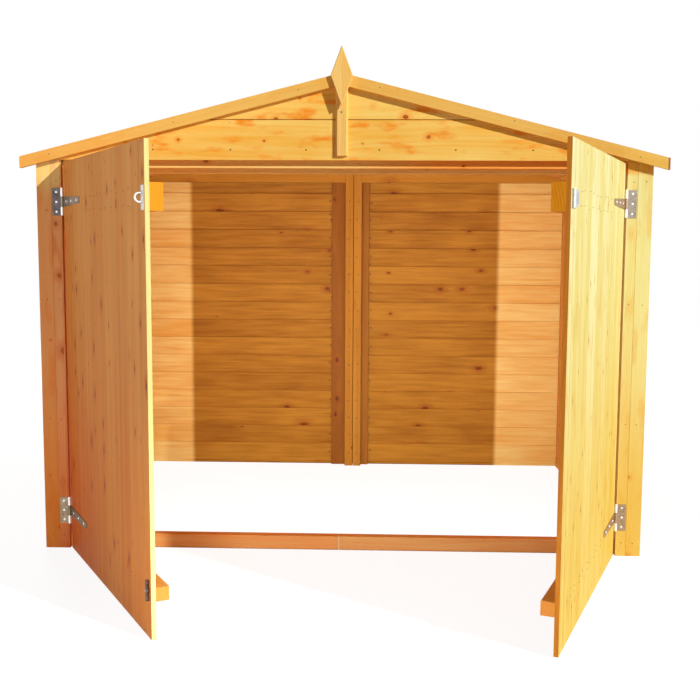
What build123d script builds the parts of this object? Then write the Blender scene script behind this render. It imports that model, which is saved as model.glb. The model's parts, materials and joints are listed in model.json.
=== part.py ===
import os
from math import ceil, cos, radians, sin, tan

from build123d import *

os.makedirs("parts", exist_ok=True)

# Timber bike shelter with an apex roof and a pair of doors that stand open.
# X runs to the right, Y to the back and Z up. The origin is on the ground, under the middle of the front sill.

# Overall sizes
body_width = 1950
body_depth = 1336
eaves_height = 1271.7
roof_pitch = 14.2
eaves_overhang = 43.5

# Timber sections
batten = 35
board = 12
sill_height = 46
post_width = 63
jamb_strip_width = 34
arris = 1.5
strip_arris = 0.5

# Front frame
sill_joint_x = -8
header_drop = 23.4
header_lap = 44
plate_height = 44
plate_drop = 14

# Overlap-board walls
clad_board = 8
clad_exposure = 80.5
clad_lap = 15

# Back wall framing
stile_gap = 2
cover_strip = 6
left_cover_width = 61
right_cover_width = 33
back_rail_height = 37
back_rail_drop = 1

# Side framing
top_rail_drop = 48

# Roof
deck = 11
felt = 3
felt_turn = 9
ridge_cap_reach = 130
ridge_cap = 2
bargeboard = 19
bargeboard_drop = 21
ridge_beam_height = 70

# Gable and finial
gable_proud = 8
gable_drop = 4.8
gable_board_face = 125
groove = 3
stem_width = 39
stem_lift = 13
finial_width = 69
finial_rise = 91
finial_fall = 95
finial_shoulder_lift = 5

# Doors
left_open_angle = 60.2
right_open_angle = 69.1
door_clearance = 5
meeting_gap = 6
door_lift = 3
door_head_gap = 7.9
door_board_face = 120
upper_ledge_height = 69
upper_ledge_drop = 104
lower_ledge_height = 36
lower_ledge_rise = 100
ledge_setback = 18
brace_width = 70
brace_thickness = 20
brace_setback = 80

# Tee hinges
lower_hinge_rise = 125
upper_hinge_drop = 125
hinge_plate_height = 86
hinge_plate_width = 33
hinge_metal = 2.5
knuckle_radius = 5
strap_knuckle_height = 34
strap_length = 215
strap_tip_height = 19
pin_radius = 2.5
pin_clearance = 0.05
pin_head_radius = 4
pin_head_height = 2
knuckle_play = 0.5
knuckle_standoff = 0.3

# Hasp, staple and turn button
lock_rise = 32
staple_setback = 15
staple_plate_width = 20
staple_plate_height = 60
staple_wire_radius = 2.5
staple_loop_radius = 11
staple_leg = 8
hasp_setback = 14
hasp_axis_height = 5
hasp_plate_width = 42
hasp_plate_height = 46
hasp_knuckle_radius = 3.2
hasp_pin_radius = 1.5
hasp_leaf_thickness = 2
hasp_leaf_height = 40
hasp_leaf_end = 22
hasp_leaf_corner = 8
hasp_leaf_knuckle = 18
hasp_slot_play = 2
button_rise = 26
button_setback = 20
button_length = 56
button_end_radius = 6.5
button_hub_radius = 9
button_neck_width = 9
button_thickness = 8
button_play = 0.5
button_screw_radius = 2
button_head_radius = 4
button_head_height = 1.5

# Planes shared by several pieces
half_width = body_width / 2
sill_front = -batten / 2
sill_back = batten / 2
board_back = sill_front - door_clearance
front = board_back - board
gable_back = board_back - gable_proud
gable_front = gable_back - board
back = front + body_depth
wall_thickness = clad_board + clad_board * (clad_exposure + clad_lap) / clad_exposure
clad_inside = half_width - wall_thickness
back_inside = back - wall_thickness
post_inside = clad_inside - post_width
frame_inside = clad_inside - batten
roof_slope = tan(radians(roof_pitch))
ridge_height = eaves_height + half_width * roof_slope
roof_reach = half_width + eaves_overhang
deck_rise = deck / cos(radians(roof_pitch))
felt_rise = felt / cos(radians(roof_pitch))
cap_rise = ridge_cap / cos(radians(roof_pitch))
deck_reach = roof_reach - felt
roof_back = back + board
gable_bottom = eaves_height - gable_drop
door_top = gable_bottom - door_head_gap
door_height = door_top - door_lift
header_bottom = gable_bottom - header_drop
header_top = gable_bottom + header_lap
plate_bottom = header_bottom - plate_drop
ridge_beam_bottom = ridge_height - ridge_beam_height
back_rail_bottom = eaves_height - back_rail_drop
finial_shoulder_height = ridge_height + finial_shoulder_lift
face_offset = knuckle_radius + knuckle_standoff
hinge_x = post_inside - door_clearance / 2
hinge_y = front - face_offset
door_start = door_clearance / 2
door_width = hinge_x - door_start - meeting_gap / 2
door_end = door_start + door_width
inner_face = face_offset + board
upper_ledge_bottom = door_top - upper_ledge_drop - upper_ledge_height
lower_ledge_bottom = door_lift + lower_ledge_rise
hinge_heights = (door_lift + lower_hinge_rise, door_top - upper_hinge_drop)
lock_height = upper_ledge_bottom + lock_rise
button_height = lower_ledge_bottom + button_rise
sides = (("left", -1), ("right", 1))


def write(label, solid):
    """Label a finished piece and write it under its own name."""
    solid.label = label
    export_step(solid, f"parts/{label}.step")


def roof_plane(sign):
    """The underside of the roof deck on one side of the ridge, facing up and out."""
    tilt = radians(roof_pitch)
    return Plane(origin=(0, 0, ridge_height), x_dir=(0, 1, 0), z_dir=(sign * sin(tilt), 0, cos(tilt)))


def timber(along, x_faces, y_faces, z_faces, roof_sides=(), ease=arris):
    """A sawn length with eased long edges between the given faces, cut under the roof on the given sides."""
    spans = [sorted(faces) for faces in (x_faces, y_faces, z_faces)]
    with BuildPart() as piece:
        with Locations(tuple((low + high) / 2 for low, high in spans)):
            Box(*(high - low for low, high in spans))
        chamfer(edges().filter_by(along), ease)
        for sign in roof_sides:
            split(bisect_by=roof_plane(sign), keep=Keep.BOTTOM)
    return piece.part


def roof_band(sign, low, high, reach, y_near, y_far):
    """A plumb-cut band that follows the roof slope, measured up from the deck's underside."""
    with BuildPart() as piece:
        with BuildSketch(Plane.XZ.offset(-y_far)):
            with BuildLine():
                Polyline(
                    (0, ridge_height + low),
                    (sign * reach, ridge_height - reach * roof_slope + low),
                    (sign * reach, ridge_height - reach * roof_slope + high),
                    (0, ridge_height + high),
                    close=True,
                )
            make_face()
        extrude(amount=y_far - y_near)
    return piece.part


def overlap_outline(outside, inward, height):
    """The section of a wall of leaning overlap boards, as points of depth and height."""
    rows = ceil(height / clad_exposure)
    outer = []
    inner = [(outside + inward * clad_board, 0)]
    for row in range(rows):
        low = row * clad_exposure
        high = low + clad_exposure
        outer += [(outside, low), (outside + inward * clad_board, high)]
        inner.append((outside + inward * wall_thickness, high + clad_lap))
        inner.append((outside + inward * (wall_thickness - clad_board), high + clad_lap))
    return outer + inner[::-1]


def door_plane(sign, angle):
    """A door's own frame on its hinge axis: x along the door, y through it, z up."""
    turn = radians(angle)
    return Plane(
        origin=(sign * hinge_x, hinge_y, 0),
        x_dir=(-sign * cos(turn), -sin(turn), 0),
        z_dir=(0, 0, 1),
    )


def door_face(plane, depth):
    """A plane parallel to a door's face, at a depth from its hinge axis, with x along the door and y up."""
    return Plane(
        origin=plane.origin + plane.y_dir * depth,
        x_dir=plane.x_dir,
        z_dir=-plane.y_dir,
    )


def hinge_plate(sign, height):
    """The fixed half of a tee hinge: a plate with a knuckle above and below the strap's."""
    closed = door_plane(sign, 0)
    inward = -sign
    with BuildPart() as piece:
        with BuildSketch(door_face(closed, inward * face_offset)):
            with Locations((0, height)):
                Rectangle(hinge_plate_width, hinge_plate_height, align=(Align.MAX, Align.CENTER))
        extrude(amount=inward * hinge_metal)
        with BuildSketch(closed.offset(height)):
            Circle(knuckle_radius)
        extrude(amount=hinge_plate_height / 2, both=True)
        with BuildSketch(closed.offset(height)):
            Rectangle(2 * (knuckle_radius + knuckle_play), 2 * (knuckle_radius + knuckle_play))
        extrude(amount=strap_knuckle_height / 2, both=True, mode=Mode.SUBTRACT)
        with BuildSketch(closed.offset(height)):
            Circle(pin_radius + pin_clearance)
        extrude(amount=hinge_plate_height / 2, both=True, mode=Mode.SUBTRACT)
    return piece.part


def hinge_strap(hung, inward, height):
    """The moving half of a tee hinge: a tapered strap rolled round the pin at its root."""
    tip_radius = strap_tip_height / 2
    root_height = strap_knuckle_height / 2 - knuckle_play
    with BuildPart() as piece:
        with BuildSketch(door_face(hung, inward * face_offset)):
            with BuildLine():
                upper = Line((0, height + root_height), (strap_length - tip_radius, height + tip_radius))
                tip = ThreePointArc(
                    upper @ 1,
                    (strap_length, height),
                    (strap_length - tip_radius, height - tip_radius),
                )
                lower = Line(tip @ 1, (0, height - root_height))
                Line(lower @ 1, upper @ 0)
            make_face()
        extrude(amount=inward * hinge_metal)
        with BuildSketch(hung.offset(height)):
            Circle(knuckle_radius)
        extrude(amount=root_height, both=True)
        with BuildSketch(hung.offset(height)):
            Circle(pin_radius + pin_clearance)
        extrude(amount=root_height, both=True, mode=Mode.SUBTRACT)
    return piece.part


# Front sill: two lengths butted near the middle, between the posts
for side, start, end in (
    ("left", -post_inside, sill_joint_x),
    ("right", sill_joint_x, post_inside),
):
    sill = timber(Axis.X, (start, end), (sill_front, sill_back), (0, sill_height))
    write(f"front_sill_{side}", sill)

# Front posts, jamb strips and corner strips, cut to the roof slope
strip_edge = post_inside + jamb_strip_width
full_height = (0, ridge_height)
corner_lengths = []
for side, sign in sides:
    post_faces = (sign * post_inside, sign * clad_inside)
    post = timber(Axis.Z, post_faces, (board_back, sill_back), full_height, [sign])
    write(f"{side}_front_post", post)
    strip_faces = (sign * post_inside, sign * strip_edge)
    strip = timber(Axis.Z, strip_faces, (front, board_back), full_height, [sign], strip_arris)
    write(f"{side}_jamb_strip", strip)
    corner_span = (sign * strip_edge, sign * half_width)
    for corner_faces in ((front, board_back), (back, roof_back)):
        corner = timber(Axis.Z, corner_span, corner_faces, full_height, [sign], strip_arris)
        corner_lengths.append(corner)

with BuildPart() as corner_strips:
    add(corner_lengths)
write("corner_strips", corner_strips.part)

# Header: two rebated lengths behind the gable boards, clear of the door heads
for side, sign in sides:
    with BuildPart() as header:
        with BuildSketch(Plane.YZ):
            with BuildLine():
                Polyline(
                    (sill_front, header_bottom),
                    (sill_back, header_bottom),
                    (sill_back, header_top),
                    (gable_back, header_top),
                    (gable_back, gable_bottom),
                    (sill_front, gable_bottom),
                    close=True,
                )
            make_face()
        extrude(amount=sign * post_inside)
        split(bisect_by=roof_plane(sign), keep=Keep.BOTTOM)
    write(f"header_{side}", header.part)

plate_faces = (plate_bottom, plate_bottom + plate_height)
plate = timber(Axis.X, (-frame_inside, frame_inside), (sill_back, sill_back + batten), plate_faces)
write("front_top_plate", plate)

# Gable: two halves of two boards, butted behind the finial stem
for side, sign in sides:
    with BuildPart() as gable:
        with BuildSketch(Plane.XZ.offset(-gable_back)):
            with Locations((sign * post_inside / 2, (gable_bottom + ridge_height) / 2)):
                Rectangle(post_inside, ridge_height - gable_bottom)
        extrude(amount=board)
        split(bisect_by=roof_plane(sign), keep=Keep.BOTTOM)
        with BuildSketch(Plane.YZ):
            with Locations((gable_front, gable_bottom + gable_board_face)):
                Rectangle(groove, groove, rotation=45)
        extrude(amount=sign * post_inside, mode=Mode.SUBTRACT)
    write(f"gable_{side}", gable.part)

# Side walls of overlap boards
for side, sign in sides:
    with BuildPart() as wall:
        with BuildSketch(Plane.XZ.offset(-back)):
            with BuildLine():
                Polyline(*overlap_outline(sign * half_width, -sign, ridge_height), close=True)
            make_face()
        extrude(amount=back - board_back)
        split(bisect_by=roof_plane(sign), keep=Keep.BOTTOM)
    write(f"{side}_wall", wall.part)

# Back wall in two halves of overlap boards
for side, sign in sides:
    with BuildPart() as wall:
        with BuildSketch(Plane.YZ):
            with BuildLine():
                Polyline(*overlap_outline(back, -1, ridge_height), close=True)
            make_face()
        extrude(amount=sign * clad_inside)
        split(bisect_by=roof_plane(sign), keep=Keep.BOTTOM)
    write(f"back_wall_{side}", wall.part)

# Side framing: bottom rails, top rails bevelled to the roof, one stud a side
post_back = back_inside - batten
top_rail_bottom = eaves_height - top_rail_drop
stud_y = (sill_back + post_back) / 2
rail_run = (sill_back, post_back)
side_spans = [(sign * frame_inside, sign * clad_inside) for side, sign in sides]
bottom_rail_lengths = [timber(Axis.Y, span, rail_run, (0, sill_height)) for span in side_spans]
with BuildPart() as bottom_rails:
    add(bottom_rail_lengths)
write("bottom_rails", bottom_rails.part)

top_rail_faces = (top_rail_bottom, ridge_height - frame_inside * roof_slope)
top_rail_lengths = [
    timber(Axis.Y, span, rail_run, top_rail_faces, [sign]) for span, (side, sign) in zip(side_spans, sides)
]
with BuildPart() as top_rails:
    add(top_rail_lengths)
write("top_rails", top_rails.part)

stud_run = (stud_y - batten / 2, stud_y + batten / 2)
stud_lengths = [timber(Axis.Z, span, stud_run, (sill_height, top_rail_bottom)) for span in side_spans]
with BuildPart() as side_studs:
    add(stud_lengths)
write("side_studs", side_studs.part)

# Back framing: corner posts, a pair of stiles at the joint, cover strips and head rails
stile_inside = stile_gap / 2
stile_outside = stile_inside + batten
frame_run = (post_back, back_inside)
cover_run = (back_inside - cover_strip, back_inside)
back_rail_faces = (back_rail_bottom, back_rail_bottom + back_rail_height)
post_lengths = []
stile_lengths = []
cover_lengths = []
rail_lengths = []
for (side, sign), span, cover_width in zip(sides, side_spans, (left_cover_width, right_cover_width)):
    stile_faces = (sign * stile_inside, sign * stile_outside)
    cover_faces = (sign * stile_outside, sign * (stile_outside + cover_width))
    post_lengths.append(timber(Axis.Z, span, frame_run, full_height, [sign]))
    stile_lengths.append(timber(Axis.Z, stile_faces, frame_run, (0, ridge_beam_bottom)))
    cover_lengths.append(timber(Axis.Z, cover_faces, cover_run, (0, back_rail_bottom)))
    rail_faces = (sign * stile_outside, sign * frame_inside)
    rail_lengths.append(timber(Axis.X, rail_faces, frame_run, back_rail_faces, [sign]))

with BuildPart() as back_posts:
    add(post_lengths)
write("back_posts", back_posts.part)

with BuildPart() as back_stiles:
    add(stile_lengths)
write("back_stiles", back_stiles.part)

with BuildPart() as back_cover_strips:
    add(cover_lengths)
write("back_cover_strips", back_cover_strips.part)

with BuildPart() as back_rails:
    add(rail_lengths)
write("back_rails", back_rails.part)

# Roof: board deck, felt turned down over the eaves, and bargeboards on each slope
bargeboard_low = -bargeboard_drop / cos(radians(roof_pitch))
deck_edge_height = ridge_height - deck_reach * roof_slope + deck_rise
for side, sign in sides:
    roof_deck = roof_band(sign, 0, deck_rise, deck_reach, gable_front, roof_back)
    write(f"roof_{side}", roof_deck)
    with BuildPart() as roof_felt:
        add(roof_band(sign, deck_rise, deck_rise + felt_rise, roof_reach, gable_front, roof_back))
        with BuildSketch(Plane.XZ.offset(-roof_back)):
            with Locations((sign * (deck_reach + felt / 2), deck_edge_height)):
                Rectangle(felt, felt_turn, align=(Align.CENTER, Align.MAX))
        extrude(amount=roof_back - gable_front)
    write(f"felt_{side}", roof_felt.part)
    for end, near in (("front", gable_front - bargeboard), ("back", roof_back)):
        verge = roof_band(sign, bargeboard_low, deck_rise + felt_rise, roof_reach, near, near + bargeboard)
        write(f"{end}_bargeboard_{side}", verge)

# Ridge cap: a strip of felt folded over the joint of the two slopes
felt_top = deck_rise + felt_rise
cap_halves = [
    roof_band(sign, felt_top, felt_top + cap_rise, ridge_cap_reach, gable_front, roof_back)
    for side, sign in sides
]
with BuildPart() as felt_ridge_cap:
    add(cap_halves)
write("felt_ridge_cap", felt_ridge_cap.part)

# Ridge beam, with its top planed to both slopes
beam_faces = (ridge_beam_bottom, ridge_height)
beam = timber(Axis.Y, (-batten / 2, batten / 2), (gable_back, back_inside), beam_faces, [-1, 1])
write("ridge_beam", beam)

# Finial: a stem that covers the gable joint, and a diamond planted over it and the bargeboards
with BuildPart() as finial_stem:
    with BuildSketch(Plane.XZ.offset(-gable_front)):
        stem_bottom = gable_bottom + stem_lift
        with BuildLine():
            Polyline(
                (-stem_width / 2, stem_bottom),
                (stem_width / 2, stem_bottom),
                (stem_width / 2, ridge_height + bargeboard_low - stem_width / 2 * roof_slope),
                (0, ridge_height + bargeboard_low),
                (-stem_width / 2, ridge_height + bargeboard_low - stem_width / 2 * roof_slope),
                close=True,
            )
        make_face()
    extrude(amount=board)
write("finial_stem", finial_stem.part)

with BuildPart() as finial_diamond:
    with BuildSketch(Plane.XZ.offset(bargeboard - gable_front)):
        with BuildLine():
            Polyline(
                (0, finial_shoulder_height + finial_rise),
                (finial_width / 2, finial_shoulder_height),
                (0, finial_shoulder_height - finial_fall),
                (-finial_width / 2, finial_shoulder_height),
                close=True,
            )
        make_face()
    extrude(amount=board)
    chamfer(faces().sort_by(Axis.Y)[0].edges(), arris)
write("finial_diamond", finial_diamond.part)

# Tee hinges: plates on the jamb strips, and pins down through their knuckles
plates = [hinge_plate(sign, height) for side, sign in sides for height in hinge_heights]
with BuildPart() as hinge_plates:
    add(plates)
write("hinge_plates", hinge_plates.part)

with BuildPart() as hinge_pins:
    for side, sign in sides:
        closed = door_plane(sign, 0)
        for height in hinge_heights:
            with BuildSketch(closed.offset(height)):
                Circle(pin_radius)
            extrude(amount=hinge_plate_height / 2, both=True)
            with BuildSketch(closed.offset(height + hinge_plate_height / 2)):
                Circle(pin_head_radius)
            extrude(amount=pin_head_height)
write("hinge_pins", hinge_pins.part)

# Doors: boards, ledges, brace and hinge straps, each door in its own frame
door_sides = (("left", -1, left_open_angle), ("right", 1, right_open_angle))
for side, sign, angle in door_sides:
    hung = door_plane(sign, angle)
    inward = -sign
    board_joints = int(door_width // door_board_face)
    with BuildPart() as boards:
        with BuildSketch(hung.offset(door_lift)):
            with Locations((door_start + door_width / 2, inward * (face_offset + board / 2))):
                Rectangle(door_width, board)
            for joint in range(1, board_joints + 1):
                with Locations((door_start + joint * door_board_face, inward * face_offset)):
                    Rectangle(groove, groove, rotation=45, mode=Mode.SUBTRACT)
        extrude(amount=door_height)
    write(f"{side}_door_boards", boards.part)

    with BuildPart() as ledges:
        ledge_length = door_width - ledge_setback
        for bottom, height in (
            (lower_ledge_bottom, lower_ledge_height),
            (upper_ledge_bottom, upper_ledge_height),
        ):
            with BuildSketch(hung.offset(bottom)):
                with Locations((door_end - ledge_length / 2, inward * (inner_face + batten / 2))):
                    Rectangle(ledge_length, batten)
            extrude(amount=height)
    write(f"{side}_door_ledges", ledges.part)

    with BuildPart() as brace:
        brace_bottom = lower_ledge_bottom + lower_ledge_height
        brace_rise = upper_ledge_bottom - brace_bottom
        brace_start = door_start + ledge_setback
        brace_end = door_end - brace_setback
        slant = brace_rise / (brace_end - brace_start)
        brace_cut = brace_width * (1 + slant**2) ** 0.5 / slant
        with BuildSketch(door_face(hung, inward * inner_face)):
            with BuildLine():
                Polyline(
                    (brace_start, brace_bottom),
                    (brace_start + brace_cut, brace_bottom),
                    (brace_end, upper_ledge_bottom),
                    (brace_end - brace_cut, upper_ledge_bottom),
                    close=True,
                )
            make_face()
        extrude(amount=-inward * brace_thickness)
    write(f"{side}_door_brace", brace.part)

    door_straps = [hinge_strap(hung, inward, height) for height in hinge_heights]
    with BuildPart() as straps:
        add(door_straps)
    write(f"{side}_door_straps", straps.part)

# Staple on the left door: a plate with a wire loop that stands out of it
hung = door_plane(-1, left_open_angle)
staple_x = door_end - staple_setback
with BuildPart() as staple:
    with BuildSketch(door_face(hung, face_offset)):
        with Locations((staple_x, lock_height)):
            Rectangle(staple_plate_width, staple_plate_height)
    extrude(amount=hinge_metal)
    loop_plane = Plane(
        origin=hung.origin + hung.x_dir * staple_x + hung.y_dir * (face_offset - hinge_metal / 2),
        x_dir=-hung.y_dir,
        z_dir=-hung.x_dir,
    )
    with BuildLine(loop_plane) as loop:
        lower_leg = Line(
            (0, lock_height - staple_loop_radius), (staple_leg, lock_height - staple_loop_radius)
        )
        bend = ThreePointArc(
            lower_leg @ 1,
            (staple_leg + staple_loop_radius, lock_height),
            (staple_leg, lock_height + staple_loop_radius),
        )
        Line(bend @ 1, (0, lock_height + staple_loop_radius))
    with BuildSketch(Plane(origin=loop.line @ 0, z_dir=loop.line % 0)):
        Circle(staple_wire_radius)
    sweep(path=loop.line)
write("hasp_staple", staple.part)

# Turn button low on the left door, with the screw that it swivels on
button_x = door_end - button_setback
button_back = face_offset - button_play
with BuildPart() as turn_button:
    with BuildSketch(door_face(hung, button_back)):
        with Locations((button_x, button_height)):
            Circle(button_hub_radius)
            Rectangle(button_neck_width, button_length - 2 * button_end_radius)
            with GridLocations(0, button_length - 2 * button_end_radius, 1, 2):
                Circle(button_end_radius)
            Circle(button_screw_radius + pin_clearance, mode=Mode.SUBTRACT)
    extrude(amount=button_thickness)
write("turn_button", turn_button.part)

with BuildPart() as button_screw:
    with BuildSketch(door_face(hung, face_offset)):
        with Locations((button_x, button_height)):
            Circle(button_screw_radius)
    extrude(amount=button_play + button_thickness + pin_clearance)
    with BuildSketch(door_face(hung, button_back - button_thickness - pin_clearance)):
        with Locations((button_x, button_height)):
            Circle(button_head_radius)
    extrude(amount=button_head_height)
write("button_screw", button_screw.part)

# Hasp on the right door: a plate with two knuckles and a fixed pin, and a slotted leaf folded back over it
hung = door_plane(1, right_open_angle)
hasp_x = door_end - hasp_setback
hasp_axis = hung.origin + hung.x_dir * hasp_x - hung.y_dir * (face_offset - hasp_axis_height)
hasp_plane = Plane(origin=hasp_axis, x_dir=-hung.x_dir, z_dir=(0, 0, 1)).offset(lock_height)
leaf_knuckle_half = hasp_leaf_knuckle / 2
with BuildPart() as hasp_plate:
    with BuildSketch(door_face(hung, -face_offset)):
        with Locations((hasp_x - hasp_plate_width / 2, lock_height)):
            Rectangle(hasp_plate_width, hasp_plate_height)
    extrude(amount=-hinge_metal)
    with BuildSketch(hasp_plane):
        Circle(hasp_knuckle_radius)
    extrude(amount=hasp_plate_height / 2, both=True)
    with BuildSketch(hasp_plane):
        Circle(hasp_knuckle_radius + knuckle_play)
        Circle(hasp_pin_radius, mode=Mode.SUBTRACT)
    extrude(amount=leaf_knuckle_half, both=True, mode=Mode.SUBTRACT)
write("hasp_plate", hasp_plate.part)

slot_reach = hasp_setback + meeting_gap + staple_setback
leaf_length = slot_reach + hasp_leaf_end
slot_width = 2 * (staple_wire_radius + hasp_slot_play)
slot_height = 2 * (staple_loop_radius + staple_wire_radius + hasp_slot_play)
leaf_root = hasp_knuckle_radius + knuckle_play
leaf_knuckle_reach = leaf_knuckle_half - knuckle_play
with BuildPart() as hasp_leaf:
    with BuildSketch(door_face(hung, hasp_axis_height - face_offset)):
        with Locations((hasp_x - leaf_root, lock_height)):
            Rectangle(leaf_length - leaf_root, hasp_leaf_height, align=(Align.MAX, Align.CENTER))
        chamfer(vertices().group_by(Axis.X)[0], hasp_leaf_corner)
        with Locations((hasp_x, lock_height)):
            Rectangle(slot_reach, 2 * leaf_knuckle_reach, align=(Align.MAX, Align.CENTER))
        with Locations((hasp_x - slot_reach, lock_height)):
            SlotOverall(slot_height, slot_width, rotation=90, mode=Mode.SUBTRACT)
    extrude(amount=-hasp_leaf_thickness)
    with BuildSketch(hasp_plane):
        Circle(hasp_knuckle_radius)
    extrude(amount=leaf_knuckle_reach, both=True)
    with BuildSketch(hasp_plane):
        Circle(hasp_pin_radius + pin_clearance)
    extrude(amount=leaf_knuckle_reach, both=True, mode=Mode.SUBTRACT)
write("hasp_leaf", hasp_leaf.part)
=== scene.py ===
import json
import random
from math import cos, radians, sin, tan

import bmesh
import bpy
from mathutils import Matrix, Vector


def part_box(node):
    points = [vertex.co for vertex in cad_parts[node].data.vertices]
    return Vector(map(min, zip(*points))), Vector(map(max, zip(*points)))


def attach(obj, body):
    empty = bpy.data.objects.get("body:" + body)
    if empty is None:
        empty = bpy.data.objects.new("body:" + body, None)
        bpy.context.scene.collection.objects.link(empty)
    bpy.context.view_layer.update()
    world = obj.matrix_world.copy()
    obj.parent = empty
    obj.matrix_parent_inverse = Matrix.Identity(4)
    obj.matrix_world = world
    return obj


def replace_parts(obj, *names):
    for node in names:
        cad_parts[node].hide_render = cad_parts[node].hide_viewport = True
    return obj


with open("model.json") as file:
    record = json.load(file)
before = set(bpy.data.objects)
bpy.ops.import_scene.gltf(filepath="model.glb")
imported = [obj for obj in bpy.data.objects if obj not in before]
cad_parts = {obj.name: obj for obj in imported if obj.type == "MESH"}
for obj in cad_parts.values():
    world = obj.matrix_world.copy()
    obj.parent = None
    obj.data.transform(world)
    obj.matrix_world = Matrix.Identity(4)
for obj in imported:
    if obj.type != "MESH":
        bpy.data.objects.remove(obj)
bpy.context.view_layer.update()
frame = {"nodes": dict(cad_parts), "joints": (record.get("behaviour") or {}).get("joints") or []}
nodes = frame["nodes"]

# Front sill: two sawn softwood lengths laid on the ground, butted near the middle and nailed to the posts.
# They were dipped in a red-brown stain, and the ground has marked their lower edge.
UP = Vector((0, 0, 1))
RIGHT = Vector((1, 0, 0))
BACK = Vector((0, 1, 0))
AT_X, AT_Z, FACING_X, FACING_Y = 0, 2, 3, 4
SEAM_DIRT_AND_SHADE = (0.30, 0.17, 0.09)
RING = 0.0075
LEAST_KNOT = 0.0004
LAP_EDGE = 0.0004
FACE_TURN = (0.6, 0.9)
GRAIN_DEPTH = 0.0006
WOOD_SHEEN = 0.12


class Shade:
    """One value in a material's node tree. Sums written on it add Math nodes."""

    def __init__(self, tree, socket):
        self.tree = tree
        self.socket = socket

    def node(self, kind, settings, sockets, output=0):
        """Add a node, set it up, fill its sockets and give back one output, or several."""
        made = self.tree.nodes.new(kind)
        for name, value in settings.items():
            setattr(made, name, value)
        for key, value in sockets.items():
            if isinstance(value, Shade):
                self.tree.links.new(value.socket, made.inputs[key])
            else:
                made.inputs[key].default_value = value
        if isinstance(output, tuple):
            return [Shade(self.tree, made.outputs[key]) for key in output]
        return Shade(self.tree, made.outputs[output])

    def maths(self, operation, *terms):
        return self.node("ShaderNodeMath", {"operation": operation}, dict(enumerate(terms)))

    def __add__(self, other):
        return self.maths("ADD", self, other)

    def __sub__(self, other):
        return self.maths("SUBTRACT", self, other)

    def __rsub__(self, other):
        return self.maths("SUBTRACT", other, self)

    def __mul__(self, other):
        return self.maths("MULTIPLY", self, other)

    def __truediv__(self, other):
        return self.maths("DIVIDE", self, other)

    def __pow__(self, other):
        return self.maths("POWER", self, other)

    def __abs__(self):
        return self.maths("ABSOLUTE", self)

    __radd__ = __add__
    __rmul__ = __mul__

    def whole(self):
        return self.maths("FLOOR", self)

    def step(self, low, high):
        """A smooth rise from 0 to 1 between two values."""
        settings = {"interpolation_type": "SMOOTHSTEP"}
        return self.node("ShaderNodeMapRange", settings, {"Value": self, "From Min": low, "From Max": high})

    def blend(self, first, second, kind="MIX"):
        """A colour between two, by this share of the second."""
        settings = {"data_type": "RGBA", "clamp_factor": True, "blend_type": kind}
        return self.node("ShaderNodeMix", settings, {0: self, 6: opaque(first), 7: opaque(second)}, output=2)

    def point(self, x, y, z):
        return self.node("ShaderNodeCombineXYZ", {}, {0: x, 1: y, 2: z})

    def parts(self):
        return self.node("ShaderNodeSeparateXYZ", {}, {"Vector": self}, output=(0, 1, 2))

    def channels(self):
        return self.node("ShaderNodeSeparateColor", {}, {"Color": self}, output=(0, 1, 2))

    def dice(self, seed):
        """Three even random numbers for each whole number."""
        settings = {"noise_dimensions": "1D"}
        return self.node("ShaderNodeTexWhiteNoise", settings, {"W": self + seed}, output=1).channels()

    def noise(self, x, y, z, detail):
        sockets = {"Vector": self.point(x, y, z), "Scale": 1.0, "Detail": detail}
        return self.node("ShaderNodeTexNoise", {}, sockets)


def opaque(colour):
    """A colour as a socket takes it, with its alpha."""
    return colour if isinstance(colour, Shade) else (*colour, 1.0)


def blank_material(name):
    """A new material: itself, its shader, its Object coordinates and its normal."""
    material = bpy.data.materials.new(name)
    material.use_nodes = True
    tree = material.node_tree
    shader = tree.nodes["Principled BSDF"]
    places = tree.nodes.new("ShaderNodeTexCoord")
    return material, shader, Shade(tree, places.outputs["Object"]), Shade(tree, places.outputs["Normal"])


def finish_surface(shader, colour, roughness, height, depth):
    """Join a colour, a roughness and a bump height to a shader."""
    links = colour.tree.links
    bump = height.node("ShaderNodeBump", {}, {"Strength": 1.0, "Distance": depth, "Height": height})
    links.new(colour.socket, shader.inputs["Base Color"])
    links.new(roughness.socket, shader.inputs["Roughness"])
    links.new(bump.socket, shader.inputs["Normal"])


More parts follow.
